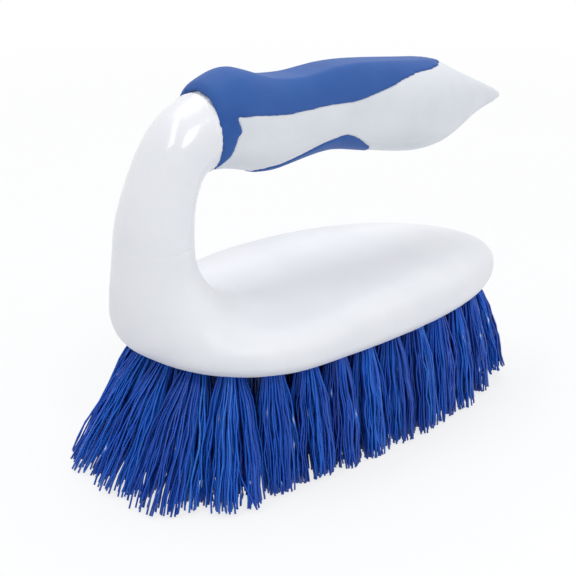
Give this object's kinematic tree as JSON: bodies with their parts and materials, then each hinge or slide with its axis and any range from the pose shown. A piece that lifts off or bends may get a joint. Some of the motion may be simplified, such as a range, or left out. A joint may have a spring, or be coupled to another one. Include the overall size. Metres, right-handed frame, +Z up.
{
  "type": "scrub brush",
  "caption": "Iron-handled scrub brush: oval white block on flared blue bristle tufts, curved neck and a raised handle with a soft blue grip over a white core.",
  "frame": {"origin": "middle of the bounding box on the plane of the trimmed bristle tips", "axes": "+Z up, +X from the neck towards the free tip of the handle, +Y across the block"},
  "size_m": [0.1938, 0.0856, 0.1348],
  "materials": {
    "white_gloss": "glossy white moulded plastic",
    "white_satin": "satin off-white moulded plastic",
    "soft_blue": "soft matt blue grip",
    "bristle_blue": "crimped blue filaments with a light sheen",
    "staple_wire": "bare flat wire"
  },
  "bodies": {
    "root": {"block_and_neck": "white_gloss", "finger_pad": "soft_blue", "grip_sleeve": "soft_blue", "handle_core": "white_satin", "inner_tuft_01": "bristle_blue", "inner_tuft_02": "bristle_blue", "inner_tuft_03": "bristle_blue", "inner_tuft_04": "bristle_blue", "inner_tuft_05": "bristle_blue", "inner_tuft_06": "bristle_blue", "inner_tuft_07": "bristle_blue", "inner_tuft_08": "bristle_blue", "inner_tuft_09": "bristle_blue", "inner_tuft_10": "bristle_blue", "middle_tuft_01": "bristle_blue", "middle_tuft_02": "bristle_blue", "middle_tuft_03": "bristle_blue", "middle_tuft_04": "bristle_blue", "middle_tuft_05": "bristle_blue", "middle_tuft_06": "bristle_blue", "middle_tuft_07": "bristle_blue", "middle_tuft_08": "bristle_blue", "middle_tuft_09": "bristle_blue", "middle_tuft_10": "bristle_blue", "middle_tuft_11": "bristle_blue", "middle_tuft_12": "bristle_blue", "middle_tuft_13": "bristle_blue", "middle_tuft_14": "bristle_blue", "middle_tuft_15": "bristle_blue", "middle_tuft_16": "bristle_blue", "middle_tuft_17": "bristle_blue", "outer_tuft_01": "bristle_blue", "outer_tuft_02": "bristle_blue", "outer_tuft_03": "bristle_blue", "outer_tuft_04": "bristle_blue", "outer_tuft_05": "bristle_blue", "outer_tuft_06": "bristle_blue", "outer_tuft_07": "bristle_blue", "outer_tuft_08": "bristle_blue", "outer_tuft_09": "bristle_blue", "outer_tuft_10": "bristle_blue", "outer_tuft_11": "bristle_blue", "outer_tuft_12": "bristle_blue", "outer_tuft_13": "bristle_blue", "outer_tuft_14": "bristle_blue", "outer_tuft_15": "bristle_blue", "outer_tuft_16": "bristle_blue", "outer_tuft_17": "bristle_blue", "outer_tuft_18": "bristle_blue", "outer_tuft_19": "bristle_blue", "outer_tuft_20": "bristle_blue", "outer_tuft_21": "bristle_blue", "outer_tuft_22": "bristle_blue", "outer_tuft_23": "bristle_blue", "outer_tuft_24": "bristle_blue", "outer_tuft_25": "bristle_blue", "outer_tuft_26": "bristle_blue", "tuft_staples": "staple_wire"}
  },
  "joints": []
}
